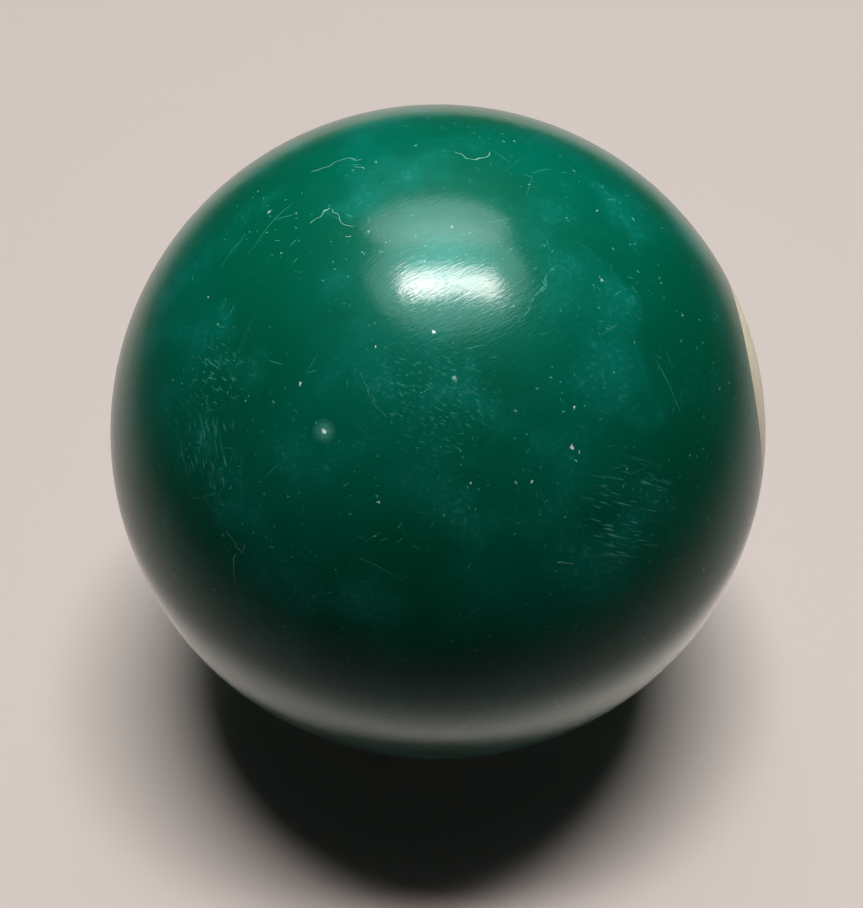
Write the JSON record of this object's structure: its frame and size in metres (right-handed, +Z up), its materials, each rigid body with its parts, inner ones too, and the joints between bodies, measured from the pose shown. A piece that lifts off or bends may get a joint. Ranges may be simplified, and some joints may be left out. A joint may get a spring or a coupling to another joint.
{
  "type": "pool ball",
  "caption": "Glossy solid-green billiard ball for a pool table, cast in resin with an underlined numeral on round cream discs set flush on opposite sides.",
  "frame": {"origin": "centre of the ball", "axes": "+Z up from the point it rests on, as it lies on a table; the axis through both number discs lies in the XZ plane, and its front end points along +X, leaning up 12.5 degrees; the front numeral reads upright from +X"},
  "size_m": [0.0572, 0.0572, 0.0572],
  "materials": {
    "green_resin": "polished",
    "cream_resin": "polished",
    "black_resin": "polished"
  },
  "bodies": {
    "root": {"ball_body": "green_resin", "front_number_disc": "cream_resin", "rear_number_disc": "cream_resin", "front_numeral": "black_resin", "rear_numeral": "black_resin", "front_underline": "black_resin", "rear_underline": "black_resin"}
  },
  "joints": []
}
